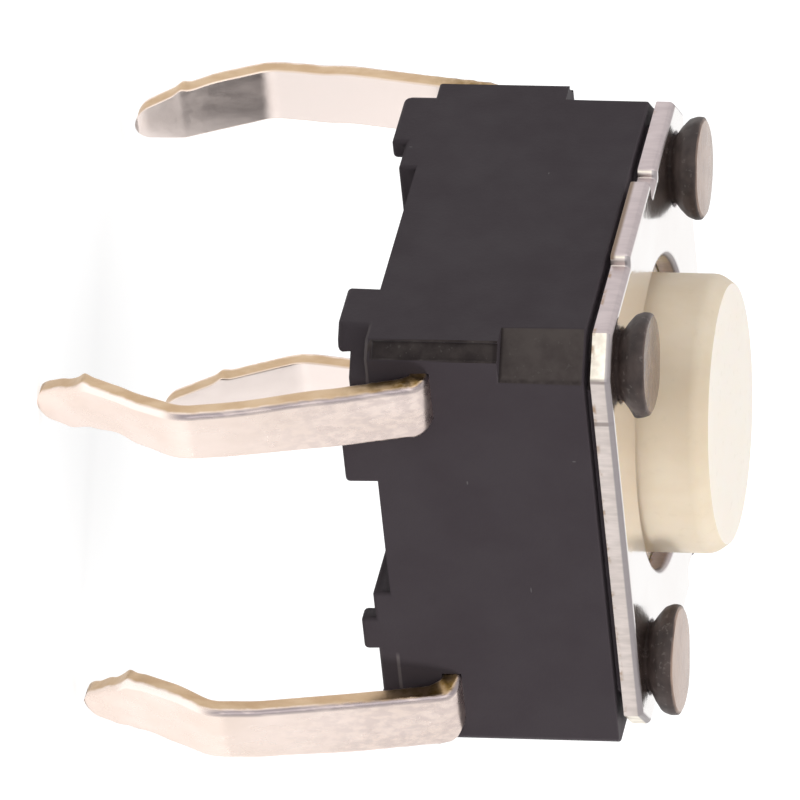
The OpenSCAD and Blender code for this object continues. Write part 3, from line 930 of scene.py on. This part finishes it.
# ---------------------------------------------------------------- cover plate
DIE_ROLL = 0.078 * MM                   # round of the upper edges, drawn down by the die
CUT_ROUND = 0.082 * MM                  # round of the outer corners at the tab and the notch
INNER_ROUND = 0.015 * MM                # round of the inner corners there
BURR_ROUND = 0.012 * MM                 # round of the lower edges
LEVEL = 0.9999                          # a face whose normal is this far along Z is level


def plate_outline():
    """The plate's outline, counter-clockwise: cut corners, a sheared tab and a notch on each Y edge."""
    half, cut, out = PLATE_HALF, PLATE_CORNER, plate_high.y
    notch = TAB_RIGHT + NOTCH_WIDTH
    outer, inner = CUT_ROUND, INNER_ROUND
    far = [(half, half - cut, 0), (half - cut, half, 0), (notch, half, outer),
           (notch, half - NOTCH_DEPTH, inner), (TAB_RIGHT, half - NOTCH_DEPTH, inner),
           (TAB_RIGHT, out, outer), (TAB_LEFT, out, outer), (TAB_LEFT, half, inner),
           (cut - half, half, 0), (-half, half - cut, 0)]
    whole = far + [(x, -y, radius) for x, y, radius in reversed(far)]
    line = rounded([Vector((x, y)) for x, y, _ in whole + whole[:1]], [radius for _, _, radius in whole])
    return line[:-1]


def at_height(part, height):
    """Whether an edge or a face lies level at a height."""
    return all(abs(v.co.z - height) < SAME_PLACE for v in part.verts)


def build_plate():
    """The stamped plate: its outline and holes filled, thickened, and its edges rounded."""
    bm = bmesh.new()
    corners = [bm.verts.new((p.x, p.y, PLATE_Z)) for p in plate_outline()]
    for pair in zip(corners, corners[1:] + corners[:1]):
        bm.edges.new(pair)
    holes = [(0, 0, HOLE_RADIUS, 128)]
    holes += [(sx * POST_X, sy * POST_Y, POST_RADIUS, 64) for sx in (-1, 1) for sy in (-1, 1)]
    for x, y, radius, segments in holes:
        bmesh.ops.create_circle(bm, segments=segments, radius=radius,
                                matrix=Matrix.Translation((x, y, PLATE_Z)))
    bmesh.ops.triangle_fill(bm, edges=bm.edges[:], use_beauty=True, normal=(0, 0, 1))
    sheet = bmesh.ops.extrude_face_region(bm, geom=bm.faces[:])["geom"]
    lifted = [v for v in sheet if isinstance(v, bmesh.types.BMVert)]
    bmesh.ops.translate(bm, verts=lifted, vec=(0, 0, PLATE_TOP - PLATE_Z))
    bmesh.ops.recalc_face_normals(bm, faces=bm.faces)
    for height, width, segments in ((PLATE_TOP, DIE_ROLL, 4), (PLATE_Z, BURR_ROUND, 2)):
        rim = [e for e in bm.edges if e.calc_face_angle(0) > math.radians(60) and at_height(e, height)]
        bmesh.ops.bevel(bm, geom=rim, offset=width, offset_type="OFFSET", affect="EDGES",
                        segments=segments, profile=0.5, material=-1)
        # The bevel leaves slivers in the level face, so it is filled anew
        flat = [f for f in bm.faces if at_height(f, height)]
        bmesh.ops.delete(bm, geom=flat, context="FACES")
        rim = [e for e in bm.edges if e.is_boundary]
        bmesh.ops.triangle_fill(bm, edges=rim, use_beauty=True, normal=(0, 0, 1))
    bmesh.ops.dissolve_degenerate(bm, dist=MERGE_WITHIN, edges=bm.edges)
    bmesh.ops.recalc_face_normals(bm, faces=bm.faces)
    piece = finish_piece(bm, "cover_sheet", "base", PLATE_SKIN)
    even_shading(piece)
    for face in piece.data.polygons:
        face.use_smooth = abs(face.normal.z) < LEVEL
    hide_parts("cover_plate")


# ---------------------------------------------------------------- button and dome
def build_button():
    """The round button with its hidden flange, and the boss that stands on the dome."""
    low, top = button_low.z, button_high.z
    flange_low = FLANGE_TOP - FLANGE_THICK
    points = [Vector(p) for p in (
        (0, low), (BOSS_RADIUS, low), (BOSS_RADIUS, flange_low), (button_high.x, flange_low),
        (button_high.x, FLANGE_TOP), (BUTTON_RADIUS, FLANGE_TOP), (BUTTON_RADIUS, top - RIM_DROP),
        (BUTTON_RADIUS - RIM_WIDTH, top), (0, top))]
    radii = [0, 0.04 * MM, 0, 0.04 * MM, 0.04 * MM, 0.03 * MM, RIM_ROUND, 0.015 * MM, 0]
    bm = spun(rounded(points, radii, steps=8), steps=160)
    piece = finish_piece(bm, "button", "button", BUTTON_SKIN)
    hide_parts("plunger")


DOME_THICK = 0.08 * MM
DOME_RIM = 0.2 * MM                     # width of the flat rim
DOME_STEPS = 16


def build_dome():
    """Spherical crown on a flat rim."""
    crown_radius = dome_high.x - DOME_RIM
    rise = dome_high.z - DOME_THICK - dome_low.z
    ball = (crown_radius ** 2 + rise ** 2) / (2 * rise)
    spread = math.asin(crown_radius / ball)
    inner = []
    for i in range(DOME_STEPS + 1):
        angle = spread * i / DOME_STEPS
        inner.append(Vector((ball * math.sin(angle), dome_low.z + rise - ball + ball * math.cos(angle))))
    lift = Vector((0, DOME_THICK))
    rim = Vector((dome_high.x, dome_low.z))
    profile = inner + [rim, rim + lift] + [p + lift for p in reversed(inner)]
    piece = finish_piece(spun(profile), "dome", "base", DOME_SKIN)
    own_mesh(piece)
    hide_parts("snap_dome")


build_housing()
build_heads()
build_terminal("outer_terminal", STRIP_Y)
build_terminal("centre_terminal", -STRIP_Y)
build_plate()
build_button()
build_dome()


# ---------------------------------------------------------------- floor, world and lamps
FLOOR_SIDE = 1.2
FLOOR_WHITE = 0.5
FLOOR_GLOW = 0.73                       # added where the floor is seen directly
WORLD_LIGHT, WORLD_SEEN = 0.29, 1.0     # what the world gives as light, and as a backdrop
LAMP_DISTANCE = 0.3
# Each lamp: where it stands from the switch, its width in metres, its power in watts, and whether it
# shows in shiny faces
LAMPS = {
    "overhead_lamp": ((0, 0, 1), 0.6, 1.05, False),
    "side_lamp": ((-0.9, -0.78, 0.12), 0.05, 0.41, False),
    "front_lamp": ((-0.8, 0.57, 0.3), 0.215, 0.145, True),
    "far_lamp": ((0.1, 1.0, 0.35), 0.195, 0.125, True),
}


def seen_directly(tree):
    """1 for rays from the camera, in a mirror or through glass, else 0."""
    path = node(tree, "LightPath").outputs
    either = maths(tree, "MAXIMUM", path["Is Camera Ray"], path["Is Glossy Ray"])
    return maths(tree, "MAXIMUM", either, path["Is Transmission Ray"])


def add_floor():
    """A white floor under the lowest point, which lights up where it is seen directly."""
    bm = bmesh.new()
    bmesh.ops.create_grid(bm, x_segments=8, y_segments=8, size=FLOOR_SIDE / 2)
    bmesh.ops.translate(bm, verts=bm.verts, vec=(0, 0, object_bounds()[0].z))
    mesh = bpy.data.meshes.new("floor")
    bm.to_mesh(mesh)
    bm.free()
    floor = bpy.data.objects.new("floor", mesh)
    bpy.context.collection.objects.link(floor)
    material = bpy.data.materials.new("pale_floor")
    tree = blank_tree(material)
    paper = node(tree, "BsdfDiffuse", {"Color": colour(FLOOR_WHITE, FLOOR_WHITE, FLOOR_WHITE)})
    strength = fade(tree, seen_directly(tree), 0, 1, 0, FLOOR_GLOW)
    glow = node(tree, "Emission", {"Color": colour(1, 1, 1), "Strength": strength})
    show(tree, node(tree, "AddShader", {0: paper.outputs[0], 1: glow.outputs[0]}))
    mesh.materials.append(material)


def add_world():
    """A plain white surround."""
    world = bpy.data.worlds.new("studio")
    bpy.context.scene.world = world
    tree = blank_tree(world)
    strength = fade(tree, seen_directly(tree), 0, 1, WORLD_LIGHT, WORLD_SEEN)
    show(tree, node(tree, "Background", {"Color": colour(1, 1, 1), "Strength": strength}), "World")


def add_lamp(name, towards, size, power, seen_in_metal):
    """A square soft lamp in the given direction from the switch, aimed at it."""
    data = bpy.data.lights.new(name, "AREA")
    data.size = size
    data.energy = power
    lamp = bpy.data.objects.new(name, data)
    lamp.visible_glossy = seen_in_metal
    direction = Vector(towards).normalized()
    aim = (cad_low + cad_high) / 2
    turned = (-direction).to_track_quat("-Z", "Y").to_matrix().to_4x4()
    lamp.matrix_world = Matrix.Translation(aim + direction * LAMP_DISTANCE) @ turned
    bpy.context.collection.objects.link(lamp)


add_floor()
add_world()
for lamp_name, settings in LAMPS.items():
    add_lamp(lamp_name, *settings)
bpy.context.scene.view_settings.view_transform = "Standard"
